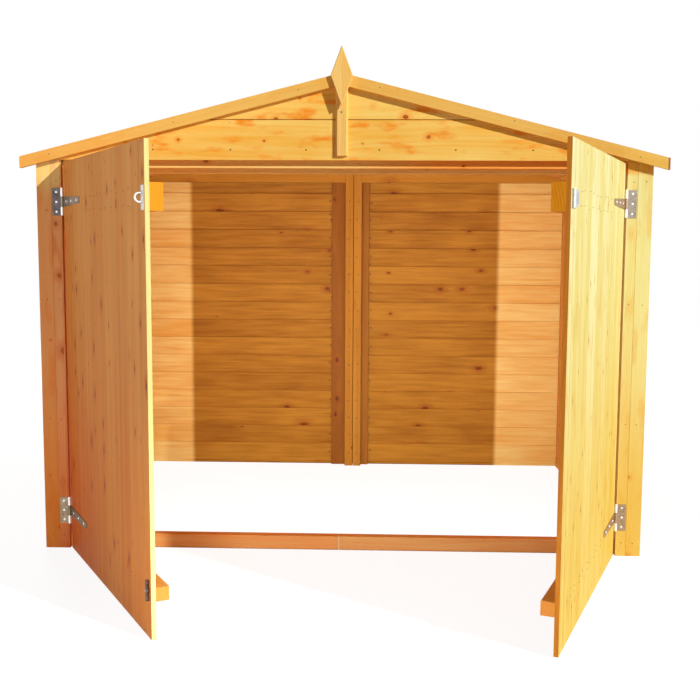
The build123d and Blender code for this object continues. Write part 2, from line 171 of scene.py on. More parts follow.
def wood(name, along, across, board, stain, seed, start=(0, 0, 0), lap=None, knots=(0.012, 0.13, 1.7),
         streak=(34, 1.1), streaks=0.8, rings=0.3, sawn=0.2, clouds=0.6, flames=0.0, board_contrast=0.3,
         seam=0.0, edge=None, end=None, fades=()):
    """Dip-treated softwood, cut along the stem into boards that are laid side by side across it.

    A stain is the pale wood, the deep streaks, the embers round the knots and the knots themselves.
    Knots are the largest radius, the usual distance between two and how far the grain draws them out.
    A fade is a list of spans along X, Y, Z or the normal's X, Y, Z, then a tint, how it blends and how much.
    A tint of two colours follows the grain.
    A lap is the depth where the inside of overlap boards begins, and how much higher their joints lie there.
    """
    pale, deep, ember, knot = stain
    knot_size, knot_cell, knot_stretch = knots
    material, shader, place, normal = blank_material(name)
    turn = Matrix((across, along.cross(across), along)).transposed().to_euler()
    settings = {"vector_type": "TEXTURE"}
    local = place.node("ShaderNodeMapping", settings, {"Vector": place, "Location": start, "Rotation": turn})
    facing = place.node("ShaderNodeMapping", settings, {"Vector": normal, "Rotation": turn})
    x, y, z = local.parts()
    edge_facing, _, end_facing = [abs(part) for part in facing.parts()]
    inner = 0 if lap is None else y.step(lap[0] - LAP_EDGE, lap[0] + LAP_EDGE)
    low_edge = x if lap is None else x - inner * lap[1]
    number = (low_edge / board).whole()
    lean, shift, tone = (number * 1.37).dice(seed)
    run = z + shift * 9 + seed
    middle = x - (number + 0.5) * board

    # Knots: one to a cell, its size thrown by dice. Noise counts cells per metre, across and along the grain.
    wobble = x.noise(x * 110, y * 110, run * 70, 2.0) - 0.5
    cell_place = x.point(x / knot_cell + number * 7.3, run / (knot_cell * knot_stretch), 0.0)
    cell = {"Vector": cell_place, "Scale": 1.0, "Randomness": 1.0}
    flat = {"voronoi_dimensions": "2D"}
    spot, spot_dice = x.node("ShaderNodeTexVoronoi", flat, cell, output=("Distance", "Color"))
    spot_size, spot_tone, _ = spot_dice.channels()
    radius = knot_size * spot_size ** 3 + LEAST_KNOT
    off_knot = spot * knot_cell + wobble * radius * 0.9
    core = 1 - off_knot.step(radius * 0.65, radius * 1.1)
    halo = (1 - off_knot.step(radius * 0.6, radius * 3.6)) * spot_size.step(0.35, 0.8)

    # Growth rings: circles round a pith that wanders beneath the board, bent round the knots.
    drift = x.noise(number * 5.1 + seed, run * 0.9, 0.0, 1.0) - 0.5
    sway = x.noise(x * 9, number * 3.7, run * 2.4, 2.0) - 0.5
    side = middle - (lean - 0.5) * 0.12 - drift * 0.11
    depth = y + 0.02 + tone * 0.05
    reach = (side * side + depth * depth) ** 0.5 + sway * 0.014 + halo * radius * 1.1
    ring_count = reach / RING
    ring = ring_count - ring_count.whole()
    ring_weight, _, _ = ring_count.whole().dice(seed + 0.5)
    late = ring.step(0.2, 0.85) * (1 - ring.step(0.88, 1.0)) * (0.3 + ring_weight)
    fibre = x.noise(x * 700, y * 700, run * 14, 2.0)
    band = x.noise(x * streak[0], y * streak[0], run * streak[1], 3.0)
    cloud = x.noise(x * 4, y * 4, run * 3, 2.0)
    speck = x.noise(x * 420, y * 420, run * 150, 2.0)

    # Colour: the grain first, then flames, knots, cut edges, ends, seams and fades.
    share = late * rings + (band - 0.5) * streaks * 2 + (fibre - 0.5) * 0.25 + (cloud - 0.5) * clouds
    share = share + (speck - 0.5) * sawn + (tone - 0.5) * board_contrast * 2 + 0.42
    colour = share.blend(pale, deep)
    if flames:
        flame = x.noise(x * 24 + 3.1, y * 24, run * 8, 3.0).step(0.51, 0.68)
        colour = (flame * flames).blend(colour, ember)
    colour = (halo * 0.55).blend(colour, ember)
    colour = (core * (0.75 + spot_tone * 0.25)).blend(colour, knot)
    if edge is not None:
        cut_edge = (share - 0.2).blend(edge, tuple(part * 0.8 for part in edge))
        colour = edge_facing.step(*FACE_TURN).blend(colour, cut_edge)
    if end is not None:
        cut_end = (late * 0.25 + share * 0.3).blend(end, tuple(part * 0.7 for part in end))
        colour = end_facing.step(*FACE_TURN).blend(colour, cut_end)
    # Seams: dark lines at board joints, dirt in tongued grooves and painted shade under the laps of overlap
    # boards.
    if seam:
        dirt_and_shade = (1 - (board / 2 - abs(middle)).step(seam * 0.5, seam)) * (1 - inner)
        colour = (dirt_and_shade * 0.85).blend(colour, SEAM_DIRT_AND_SHADE, "MULTIPLY")
    whereabouts = place.parts() + normal.parts()
    for spans, tint, kind, amount in fades:
        mask = amount
        for axis, low, high in spans:
            mask = whereabouts[axis].step(low, high) * mask
        colour = mask.blend(colour, share.blend(*tint) if len(tint) == 2 else tint, kind)
    roughness = 0.62 + (fibre - 0.5) * 0.22 - late * 0.08 - core * 0.12
    height = late * 0.3 + fibre * 0.5 + speck * sawn + core * 0.5
    finish_surface(shader, colour, roughness, height, GRAIN_DEPTH)
    shader.inputs["Specular IOR Level"].default_value = WOOD_SHEEN
    return material


def dress(material, *names):
    """Give a material to CAD nodes."""
    for name in names:
        slots = nodes[name].data.materials
        slots.clear()
        slots.append(material)


SILL_STAIN = ((0.98, 0.60, 0.22), (0.96, 0.43, 0.13), (0.80, 0.24, 0.05), (0.34, 0.09, 0.02))
SILL_DIRT = (0.42, 0.34, 0.30)
SILL_PAINTED_SHADE = (0.66, 0.62, 0.55)
SILL_JOINT = (0.95, 0.72, 0.42)
sill_board = 0.2
joint_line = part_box("front_sill_right")[0].x
joint_fade = ([(AT_X, joint_line + 0.005, joint_line + 0.003)], SILL_JOINT, "MIX", 0.8)
dirt_fade = ([(AT_Z, 0.006, -0.002)], SILL_DIRT, "MULTIPLY", 1.0)
# Painted shade: the sill's left end is darkened to match the rest, which lies in the right door's shadow.
sill_shade_fade = ([(AT_X, -0.30, -0.55)], SILL_PAINTED_SHADE, "MULTIPLY", 1.0)
sill_fades = [dirt_fade, sill_shade_fade]
for side_name, seed, fades in (("left", 2.0, sill_fades), ("right", 5.0, [*sill_fades, joint_fade])):
    sill = wood(f"sill_{side_name}", RIGHT, UP, sill_board, SILL_STAIN, seed, knots=(0.009, 0.13, 1.7),
                streak=(60, 2.5), streaks=1.1, sawn=0.7, fades=fades)
    dress(sill, f"front_sill_{side_name}")

# Front posts with their jamb and corner strips: upright softwood, nailed through the strips into the post.
# The dip ran down them, so they are redder towards the ground. The right-hand ones have a paler, yellower
# stain as painted sunlight, and the left-hand ones a deeper orange as painted shade.
LEFT_POST_STAIN = ((0.96, 0.45, 0.175), (0.85, 0.30, 0.085), (0.70, 0.14, 0.018), (0.48, 0.11, 0.018))
RIGHT_POST_STAIN = ((0.87, 0.83, 0.40), (0.83, 0.67, 0.22), (0.82, 0.44, 0.05), (0.55, 0.25, 0.03))
# Painted light: the heads of the left posts and strips are made paler and yellower, where the sun reaches
# over the left door.
LEFT_POST_PAINTED_LIGHT = (1.0, 1.5, 1.45)
LEFT_POST_FOOT = (0.92, 0.62, 0.46)
RIGHT_POST_FOOT = (0.92, 0.68, 0.32)
# Painted shadow: a deeper orange band at the heads of the right posts and strips stands for the bargeboard's
# shadow.
RIGHT_POST_PAINTED_SHADOW = (1.0, 0.55, 0.20)
# Painted shade: faces of the left posts that look right, into the door gap, are darkened.
LEFT_REVEAL_SHADE = (0.50, 0.32, 0.26)
STRIP_SEAM = (0.62, 0.45, 0.32)
strip_gap = 0.002
post_board = 0.3
corner_board = 0.5
# Painted shade: the left posts' deeper stain, as a share of the right posts' paler, painted-sunlight one.
LEFT_SHADE_FROM_RIGHT_LIGHT = tuple(left / right for left, right in zip(LEFT_POST_STAIN[0], RIGHT_POST_STAIN[0]))
post_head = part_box("left_front_post")[1].z
head_span = (AT_Z, post_head - 0.17, post_head - 0.07)
left_half = (AT_X, 0.01, -0.01)
head_light_fade = ([left_half, head_span], LEFT_POST_PAINTED_LIGHT, "MULTIPLY", 1.0)
right_half = (AT_X, -0.01, 0.01)
bargeboard_shadow_span = (AT_Z, post_head - 0.075, post_head - 0.052)
bargeboard_shadow_fade = ([right_half, bargeboard_shadow_span], RIGHT_POST_PAINTED_SHADOW, "MULTIPLY", 1.0)
reveal_shade_fade = ([(FACING_X, 0.5, 0.9)], LEFT_REVEAL_SHADE, "MULTIPLY", 1.0)
left_fades = [head_light_fade, reveal_shade_fade, ([(AT_Z, 0.75, 0.15)], LEFT_POST_FOOT, "MULTIPLY", 1.0)]
right_fades = [([(AT_Z, 0.95, 0.10)], RIGHT_POST_FOOT, "MULTIPLY", 1.0), bargeboard_shadow_fade]
post_looks = {"left": (LEFT_POST_STAIN, left_fades, (0.022, 0.10, 1.2), 19.0),
              "right": (RIGHT_POST_STAIN, right_fades, (0.008, 0.12, 0.9), 14.0)}
for side_name, (stain, fades, knots, seed) in post_looks.items():
    strip_low, strip_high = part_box(f"{side_name}_jamb_strip")
    outer_edge = strip_low.x if side_name == "left" else strip_high.x
    strip_seam = ([(AT_X, outer_edge * (1 - strip_gap), outer_edge)], STRIP_SEAM, "MULTIPLY", 1.0)
    for piece_number, piece_name in enumerate(("front_post", "jamb_strip")):
        grown = wood(f"{side_name}_{piece_name}_wood", UP, RIGHT, post_board, stain, seed + piece_number,
                     knots=knots, flames=0.4, fades=[*fades, strip_seam])
        dress(grown, f"{side_name}_{piece_name}")
# The corner strips carry the posts' painted light and shade: the left posts' deeper stain and paler head on
# their left half, and the right posts' painted shadow under the eaves.
corner_fades = [([left_half], LEFT_SHADE_FROM_RIGHT_LIGHT, "MULTIPLY", 1.0), head_light_fade, *right_fades]
corner_wood = wood("corner_strip_wood", UP, RIGHT, corner_board, RIGHT_POST_STAIN, 17.0,
                   knots=(0.009, 0.14, 0.9), flames=0.4, fades=corner_fades)
dress(corner_wood, "corner_strips")

# Header and front top plate: two rebated lengths under the gable boards, with a square plate behind them.
# They are planed softwood, screwed to the posts from behind.
HEADER_STAIN = ((0.98, 0.74, 0.28), (0.93, 0.58, 0.17), (0.82, 0.32, 0.05), (0.35, 0.10, 0.02))
# Painted shade: the right part of the header is darker and redder, where the right door's shadow falls.
HEADER_RIGHT_SHADE = (1.0, 0.62, 0.32)
header_board = 0.12
header_shade_fade = ([(AT_X, -0.05, 0.35)], HEADER_RIGHT_SHADE, "MULTIPLY", 1.0)
header_wood = wood("header_wood", RIGHT, UP, header_board, HEADER_STAIN, 21.0, sawn=0.5, fades=[header_shade_fade])
dress(header_wood, "header_left", "header_right")
dress(wood("plate_wood", RIGHT, UP, header_board, HEADER_STAIN, 23.0, sawn=0.5), "front_top_plate")

# Gable: planed boards lying across the front, two halves butted behind the finial stem.
# They are bright golden boards with orange clouds round a few small knots, and are nailed to the header.
GABLE_STAIN = ((0.97, 0.71, 0.19), (0.92, 0.48, 0.060), (0.92, 0.27, 0.008), (0.45, 0.10, 0.010))
gable_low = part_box("gable_left")[0]
gable_board = 0.125
gable_tongue = 0.002
gable_seam = 0.0016
for side_name, seed in (("left", 31.0), ("right", 37.0)):
    gable = wood(f"gable_wood_{side_name}", RIGHT, UP, gable_board + gable_tongue, GABLE_STAIN, seed,
                 start=(0, 0, gable_low.z - gable_tongue), knots=(0.008, 0.080, 1.2), streak=(40, 1.6),
                 streaks=0.7, rings=0.25, clouds=1.5, flames=0.9, board_contrast=0.12, seam=gable_seam)
    dress(gable, f"gable_{side_name}")

# Overlap-board walls: thin sawn boards leaning out over each other, nailed to the framing.
# Each has its own tone and long streaks of brown dip, and the back ones carry paler patches inside near the
# corners, painted pools of light.
WALL_STAIN = ((0.80, 0.42, 0.10), (0.58, 0.24, 0.045), (0.50, 0.16, 0.025), (0.16, 0.05, 0.012))
BACK_STAIN = ((0.53, 0.255, 0.030), (0.315, 0.118, 0.011), (0.34, 0.085, 0.010), (0.18, 0.045, 0.006))
# Painted light: paler patches on the inside of the back wall near the corners stand for pools of light.
BACK_PAINTED_LIGHT = ((1.0, 0.79, 0.30), (0.90, 0.49, 0.105))
BACK_OUTSIDE = (1.5, 1.65, 3.2)
clad_exposure = 0.0805
clad_lap = 0.015
clad_board = 0.008
clad_half = 0.00875
# Painted shade: a dark line along the outside of each lap stands for the shadow under the board above.
lap_shade = 0.004
back_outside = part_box("back_wall_left")[1].y
pale_edge = 0.012
pale_share = 0.86
pale_from = {"left": -0.73, "right": 0.645}
inside_face = (FACING_Y, 0.2, -0.2)
outside_face = (FACING_Y, -0.2, 0.2)
for side_name, sign, seed in (("left", -1, 41.0), ("right", 1, 46.0)):
    inward = RIGHT * -sign
    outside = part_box(f"{side_name}_wall")[0 if side_name == "left" else 1].x
    side_wall = wood(f"side_wall_{side_name}", UP.cross(inward), UP, clad_exposure, WALL_STAIN, seed,
                     start=(outside, 0, 0), lap=(clad_half, clad_lap), streak=(60, 4), sawn=0.4,
                     seam=lap_shade)
    dress(side_wall, f"{side_name}_wall")
    pale_line = pale_from[side_name]
    light_patch_span = (AT_X, pale_line - sign * pale_edge, pale_line + sign * pale_edge)
    back_fades = [([light_patch_span, inside_face], BACK_PAINTED_LIGHT, "MIX", pale_share),
                  ([outside_face], BACK_OUTSIDE, "MULTIPLY", 1.0)]
    back_wall = wood(f"back_wall_wood_{side_name}", UP.cross(-BACK), UP, clad_exposure, BACK_STAIN, seed + 3,
                     start=(0, back_outside, 0), lap=(clad_half, clad_lap), streak=(70, 5), streaks=0.75,
                     rings=0.15, sawn=0.4, clouds=1.2, board_contrast=0.18, seam=lap_shade, fades=back_fades)
    dress(back_wall, f"back_wall_{side_name}")

# Wall framing: sawn battens behind the boards, rails along the sides and a pair of stiles at the back joint.
# The battens are nailed together, and thin strips cover the board ends beside the stiles.
STILE_STAIN = ((0.574, 0.275, 0.034), (0.40, 0.165, 0.017), (0.40, 0.11, 0.012), (0.14, 0.035, 0.008))
COVER_STAIN = ((0.405, 0.162, 0.024), (0.29, 0.098, 0.012), (0.32, 0.075, 0.010), (0.12, 0.030, 0.008))
BATTEN_STAIN = ((0.82, 0.42, 0.11), (0.60, 0.24, 0.05), (0.55, 0.17, 0.02), (0.18, 0.05, 0.012))
small_knots = (0.008, 0.10, 1.5)
large_knots = (0.018, 0.13, 1.2)
rail_board = 0.3
stud_board = 0.5
stile_board = 0.036
rail_wood = wood("rail_wood", BACK, UP, rail_board, BATTEN_STAIN, 51.0, sawn=0.5)
stud_wood = wood("stud_wood", UP, RIGHT, stud_board, BATTEN_STAIN, 53.0, sawn=0.5)
stile_wood = wood("stile_wood", UP, RIGHT, stile_board, STILE_STAIN, 55.0, knots=small_knots, sawn=0.5)
cover_wood = wood("cover_wood", UP, RIGHT, rail_board, COVER_STAIN, 57.0, knots=small_knots, sawn=1.0)
head_wood = wood("head_rail_wood", RIGHT, UP, rail_board, STILE_STAIN, 59.0, knots=large_knots, sawn=0.4)
dress(rail_wood, "bottom_rails", "top_rails")
dress(stud_wood, "side_studs", "back_posts")
dress(stile_wood, "back_stiles")
dress(cover_wood, "back_cover_strips")
dress(head_wood, "back_rails")

# Roof: tongued boards on a ridge beam, with bargeboards planted on both ends.
# The bargeboards are planed golden softwood nailed through their faces, the left ones warmer towards
# the foot and the right ones with a stained end.
VERGE_STAIN = ((0.93, 0.60, 0.155), (0.84, 0.46, 0.085), (0.84, 0.34, 0.03), (0.45, 0.15, 0.03))
VERGE_END = (0.42, 0.22, 0.14)
VERGE_WARM = (0.97, 0.80, 0.74)
roof_pitch = radians(14.2)
roof_slope = tan(roof_pitch)
roof_board = 0.11
roof_seam = 0.002
verge_board = 0.5
beam_board = 0.5
roof_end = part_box("front_bargeboard_right")[1].x
end_fade = ([(AT_X, roof_end - 0.0075, roof_end - 0.005)], VERGE_END, "MULTIPLY", 0.9)
warm_fade = ([(AT_X, -0.45, -0.95)], VERGE_WARM, "MULTIPLY", 1.0)
for side_name, sign, seed in (("left", -1, 61.0), ("right", 1, 66.0)):
    down_slope = Vector((sign * cos(roof_pitch), 0, -sin(roof_pitch)))
    deck = wood(f"roof_boards_{side_name}", BACK, down_slope, roof_board, BATTEN_STAIN, seed, sawn=0.4,
                seam=roof_seam)
    dress(deck, f"roof_{side_name}")
    verge = wood(f"bargeboard_{side_name}", down_slope, down_slope.cross(BACK), verge_board, VERGE_STAIN,
                 seed + 2, knots=(0.008, 0.10, 1.3), streak=(60, 1.4), streaks=0.6, rings=0.15, flames=0.3,
                 fades=[end_fade, warm_fade])
    dress(verge, f"front_bargeboard_{side_name}", f"back_bargeboard_{side_name}")
dress(wood("beam_wood", BACK, UP, beam_board, BATTEN_STAIN, 69.0, sawn=0.5), "ridge_beam")

# Felt: green-black mineral felt laid down each slope, turned over the eaves and capped along the ridge.
# Its grit has worn thin in places, and it is held by clout nails.
FELT_DARK = (0.030, 0.034, 0.032)
FELT_PALE = (0.105, 0.112, 0.105)
felt_relief = 0.0012
felt, felt_shader, felt_place, _ = blank_material("mineral_felt")
felt_x, felt_y, felt_z = felt_place.parts()
grit = felt_x.noise(felt_x * 900, felt_y * 900, felt_z * 900, 2.0)
patch = felt_x.noise(felt_x * 5, felt_y * 5, felt_z * 5, 3.0)
felt_colour = (grit.step(0.35, 0.7) * 0.6 + (patch - 0.5) * 0.8 + 0.2).blend(FELT_DARK, FELT_PALE)
finish_surface(felt_shader, felt_colour, 0.95 - grit * 0.1, grit + patch * 0.5, felt_relief)
dress(felt, "felt_left", "felt_right", "felt_ridge_cap")

# Finial: a stem over the gable joint and a sawn diamond planted over the tops of the bargeboards.
# Both are planed softwood, and the stem is nailed from the front.
FINIAL_STAIN = ((0.96, 0.64, 0.20), (0.87, 0.50, 0.11), (0.85, 0.34, 0.03), (0.40, 0.13, 0.03))
finial_board = 0.3
stem_arris = 0.0055
hair = 0.0001
weld = 0.00001
flat_within = radians(4)
finial_wood = wood("finial_wood", UP, RIGHT, finial_board, FINIAL_STAIN, 71.0, knots=(0.007, 0.12, 1.5),
                   streaks=0.5, rings=0.2)
dress(finial_wood, "finial_stem", "finial_diamond")


def finish_piece(name, build, material, body):
    """Make a modelled shape a piece of its own that rides on a body."""
    mesh = bpy.data.meshes.new(name)
    build.to_mesh(mesh)
    build.free()
    mesh.materials.append(material)
    piece = bpy.data.objects.new(name, mesh)
    bpy.context.scene.collection.objects.link(piece)
    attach(piece, body)
    return piece


def merged_copy(name):
    """A CAD node's shape with its facets joined, ready for bevels."""
    build = bmesh.new()
    build.from_mesh(nodes[name].data)
    bmesh.ops.remove_doubles(build, verts=build.verts, dist=weld)
    bmesh.ops.dissolve_limit(build, angle_limit=flat_within, verts=build.verts, edges=build.edges)
    return build


stem = merged_copy("finial_stem")
stem_face = min(vert.co.y for vert in stem.verts) + hair
front_edges = [edge for edge in stem.edges if max(vert.co.y for vert in edge.verts) < stem_face]
upright = [edge for edge in front_edges if abs(edge.verts[0].co.x - edge.verts[1].co.x) < hair]
bmesh.ops.bevel(stem, geom=upright, offset=stem_arris, affect="EDGES", segments=1, profile=0.5, material=-1)
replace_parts(finish_piece("arrised_finial_stem", stem, finial_wood, "shelter"), "finial_stem")

# Doors: tongued boards 120 mm wide with one ripped at the free edge, held by two ledges and a brace inside.
# Outside, the right one has a pale yellow stain as painted sunlight and the left one a warmer, deeper orange
# as painted shade, and the left one is full of small knots.
LEFT_DOOR_STAIN = ((0.98, 0.44, 0.115), (0.80, 0.27, 0.050), (0.64, 0.13, 0.012), (0.34, 0.055, 0.005))
RIGHT_DOOR_STAIN = ((0.80, 0.77, 0.43), (0.70, 0.595, 0.187), (0.64, 0.40, 0.05), (0.30, 0.14, 0.025))
# Painted light and shade: the left door's free edge is pale yellow where the sun strikes it, and the right
# one deeper orange in shade.
LEFT_DOOR_EDGE = (0.78, 0.72, 0.26)
RIGHT_DOOR_EDGE = (0.62, 0.36, 0.064)
LEFT_DOOR_FOOT = (0.80, 0.62, 0.42)
RIGHT_DOOR_FOOT = (0.94, 0.72, 0.32)
RIGHT_DOOR_INSIDE = (1.18, 0.68, 0.34)
LEDGE_STAIN = ((0.86, 0.46, 0.10), (0.72, 0.32, 0.05), (0.70, 0.22, 0.02), (0.25, 0.07, 0.012))
LEDGE_END = (0.97, 0.34, 0.010)
LEDGE_LOW_TINT = (0.85, 0.88, 5.0)
RED_DIP = (1.05, 0.76, 0.72)
door_board = 0.120
door_seam = 0.0013
door_face_setback = 0.0053
door_start = 0.0025
ledge_board = 0.4
brace_board = 2.0
ledge_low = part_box("left_door_ledges")[0].z
ledge_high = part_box("left_door_ledges")[1].z
door_frames = {}
red_corner = ([(AT_X, -0.60, -0.86), (AT_Z, 0.75, 0.15)], RED_DIP, "MULTIPLY", 1.0)
inside_fade = ([(FACING_X, 0.2, -0.2)], RIGHT_DOOR_INSIDE, "MULTIPLY", 1.0)
ledge_fade = ([(AT_Z, 0.9, 0.3), (FACING_Y, -0.6, -0.8)], LEDGE_LOW_TINT, "MULTIPLY", 1.0)
joints = {joint["name"]: joint for joint in frame["joints"]}
left_grain = dict(knots=(0.0062, 0.055, 2.2), streak=(52, 1.0), streaks=0.8, rings=0.3, board_contrast=0.25)
right_grain = dict(knots=(0.004, 0.060, 2.2), streak=(24, 0.7), streaks=1.2, rings=0.5, flames=0.35)
door_looks = (
    ("left", -1, LEFT_DOOR_STAIN, LEFT_DOOR_EDGE, LEFT_DOOR_FOOT, left_grain, 81.0),
    ("right", 1, RIGHT_DOOR_STAIN, RIGHT_DOOR_EDGE, RIGHT_DOOR_FOOT, right_grain, 86.0),
)
for side_name, sign, stain, edge, foot, grain, seed in door_looks:
    hinge = joints[f"{side_name}_door_hinge"]
    angle = -radians(hinge["range_deg"][0])
    along_door = Vector((-sign * cos(angle), -sin(angle), 0))
    outward = Vector((sign * sin(angle), -cos(angle), 0))
    hinge_foot = Vector((*hinge["pos_m"][:2], 0))
    door_frames[side_name] = (hinge_foot - outward * door_face_setback, along_door, outward)
    first_edge = hinge_foot + along_door * door_start
    foot_fade = ([(AT_Z, 1.2, 0.1), (FACING_X, 0.0, sign * 0.2)], foot, "MULTIPLY", 1.0)
    door_fades = [foot_fade, red_corner]
    if side_name == "right":
        door_fades.append(inside_fade)
    boards = wood(f"door_boards_{side_name}", UP, along_door, door_board, stain, seed, start=first_edge,
                  seam=door_seam, edge=edge, fades=door_fades, **grain)
    dress(boards, f"{side_name}_door_boards")
    ledge = wood(f"door_ledges_{side_name}", along_door, UP, ledge_board, LEDGE_STAIN, seed + 1, sawn=0.5,
                 end=LEDGE_END, fades=[ledge_fade])
    dress(ledge, f"{side_name}_door_ledges")
    brace_run = (along_door + UP).normalized()
    brace_side = (UP - along_door).normalized()
    brace = wood(f"door_brace_{side_name}", brace_run, brace_side, brace_board, LEDGE_STAIN, seed + 2,
                 sawn=0.5)
    dress(brace, f"{side_name}_door_brace")

# Metalwork: zinc-plated tee hinges, hasp and staple, pressed from strip and screwed on.
# The plates and straps are darker on the shaded left side as painted shade, the straps brighter on the sunlit
# right as painted light, and they are warmer towards the foot as tarnish. A bright band along the rolled
# knuckles is a painted highlight.
ZINC = (0.44, 0.41, 0.38)
ZINC_DULL = (0.22, 0.19, 0.165)
ZINC_BRIGHT = (0.86, 0.84, 0.80)
PLATE_SHADE_AND_TARNISH = ((0.31, 0.28, 0.30), (0.81, 0.65, 0.45), (0.93, 0.87, 0.77), (1.08, 0.80, 0.50))
STRAP_LIGHT_SHADE_AND_TARNISH = ((0.85, 0.75, 0.64), (0.60, 0.50, 0.36), (1.25, 0.92, 0.66), (1.20, 0.85, 0.55))
HASP_ZINC = (0.74, 0.75, 0.74)
HASP_DULL = (0.50, 0.51, 0.50)
knuckle_reach = 0.0056
knuckle_edge = 0.0004
fine_relief = 0.0002


def zinc_plate(name, bright, dull, tints=None, highlight_line=0.0):
    """Zinc plating: cloudy grey crystals, scratches and dull patches, with a painted highlight inside a line
    across the piece.

    Tints are for the upper left, lower left, upper right and lower right of the front; they paint shade and
    light as well as tarnish.
    """
    material, shader, place, _ = blank_material(name)
    x, y, z = place.parts()
    crystal = place.node("ShaderNodeTexVoronoi", {}, {"Vector": place, "Scale": 260.0}, output="Color")
    facet, _, _ = crystal.channels()
    smear = x.noise(x * 60, y * 60, z * 60, 4.0)
    scratch = x.noise(x * 1500, y * 1500, z * 60, 2.0)
    share = (facet - 0.5) * 0.5 + (smear - 0.5) * 1.5 + 0.4
    colour = share.blend(bright, dull)
    if tints is not None:
        low = z.step(0.7, 0.5)
        tint = x.step(-0.01, 0.01).blend(low.blend(*tints[:2]), low.blend(*tints[2:]))
        colour = tint.node("ShaderNodeVectorMath", {"operation": "MULTIPLY"}, {0: colour, 1: tint})
    if highlight_line:
        colour = abs(x).step(highlight_line + knuckle_edge, highlight_line).blend(colour, ZINC_BRIGHT)
    finish_surface(shader, colour, 0.36 + share * 0.25, facet * 0.3 + scratch * 0.6, fine_relief)
    shader.inputs["Metallic"].default_value = 1.0
    return material


hinge_line = abs(joints["left_door_hinge"]["pos_m"][0])
zinc = zinc_plate("zinc_plate", ZINC, ZINC_DULL)
# Painted highlight: the hinge zinc is bright along the knuckles.
hinge_zinc = zinc_plate("hinge_zinc", ZINC, ZINC_DULL, PLATE_SHADE_AND_TARNISH, hinge_line + knuckle_reach)
strap_zinc = zinc_plate("strap_zinc", ZINC, ZINC_DULL, STRAP_LIGHT_SHADE_AND_TARNISH)
hasp_zinc = zinc_plate("hasp_zinc", HASP_ZINC, HASP_DULL)
dress(hinge_zinc, "hinge_plates", "hinge_pins")
dress(strap_zinc, "left_door_straps", "right_door_straps")
dress(zinc, "button_screw")
dress(hasp_zinc, "hasp_plate", "hasp_leaf", "hasp_staple")

# Screws: cross-head zinc screws, three in each hinge plate, three in each strap and two smaller ones
# in the staple's plate. Each head is drawn down to the plate all round, and its cross is pressed in.
screw_head = 0.0042
screw_rise = 0.0014
screw_cross = 0.0021
screw_sink = 0.0010
screw_turn = 1.5
shoulder_reach = 0.85
shoulder_drop = 0.3
plate_metal = 0.0025
plate_middle = 0.019
plate_pitch = 0.031
pin_head_rise = 0.002
plate_half = 0.043
strap_holes = (0.045, 0.110, 0.180)
staple_setback = 0.015
staple_pitch = 0.025
staple_screw = 0.75
screw_bright = zinc_plate("screw_zinc", ZINC_BRIGHT, HASP_DULL)
hand = random.Random(7)


def facing_out(place, outward):
    """The pose of a fixing that stands on a face."""
    return Matrix.Translation(place) @ outward.to_track_quat("Z", "Y").to_matrix().to_4x4()


def of_kind(geometry, kind):
    return [item for item in geometry if isinstance(item, kind)]


def drive_screw(build, place, outward, size=1.0):
    """One cross-head screw, from a three by three grid whose rim is drawn out round and down."""
    verts = bmesh.ops.create_grid(build, x_segments=3, y_segments=3, size=screw_cross)["verts"]
    faces = {face for vert in verts for face in vert.link_faces}
    cross = [face for face in faces if min(map(abs, face.calc_center_median().xy)) < screw_cross / 6]
    rim = [edge for edge in {edge for face in faces for edge in face.edges} if edge.is_boundary]
    shoulder = (screw_head * shoulder_reach, -screw_rise * shoulder_drop)
    for radius, height in (shoulder, (screw_head, -screw_rise)):
        drawn = bmesh.ops.extrude_edge_only(build, edges=rim)["geom"]
        ring = of_kind(drawn, bmesh.types.BMVert)
        for vert in ring:
            vert.co = (*(vert.co.xy.normalized() * radius), height)
        rim = [edge for edge in of_kind(drawn, bmesh.types.BMEdge) if edge.is_boundary]
        verts += ring
    pressed = of_kind(bmesh.ops.extrude_face_region(build, geom=cross)["geom"], bmesh.types.BMVert)
    bmesh.ops.translate(build, vec=(0, 0, -screw_sink), verts=pressed)
    verts = [vert for vert in verts + pressed if vert.is_valid]
    seat = facing_out(place + outward * screw_rise * size, outward) @ Matrix.Scale(size, 4)
    seat = seat @ Matrix.Rotation(hand.uniform(0, screw_turn), 4, "Z")
    bmesh.ops.transform(build, matrix=seat, verts=verts)


pins_low, pins_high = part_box("hinge_pins")
hinge_heights = (pins_low.z + plate_half, pins_high.z - pin_head_rise - plate_half)
plate_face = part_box("hinge_plates")[1].y - plate_metal
plate_screws = bmesh.new()
for sign in (-1, 1):
    for height in hinge_heights:
        for rise in (-plate_pitch, 0, plate_pitch):
            spot = Vector((sign * (hinge_line + plate_middle), plate_face, height + rise))
            drive_screw(plate_screws, spot, -BACK)
finish_piece("hinge_plate_screws", plate_screws, screw_bright, "shelter")

lock_height = joints["hasp_swing"]["pos_m"][2]
door_width = 0.88651
door_end = door_start + door_width
for side_name, (face_origin, along_door, outward) in door_frames.items():
    strap_screws = bmesh.new()
    metal_face = face_origin + outward * plate_metal
    for height in hinge_heights:
        for reach in strap_holes:
            drive_screw(strap_screws, metal_face + along_door * reach + UP * height, outward)
    if side_name == "left":
        for rise in (-staple_pitch, staple_pitch):
            reach = door_end - staple_setback
            spot = metal_face + along_door * reach + UP * (lock_height + rise)
            drive_screw(strap_screws, spot, outward, staple_screw)
    finish_piece(f"{side_name}_door_screws", strap_screws, screw_bright, f"{side_name}_door")

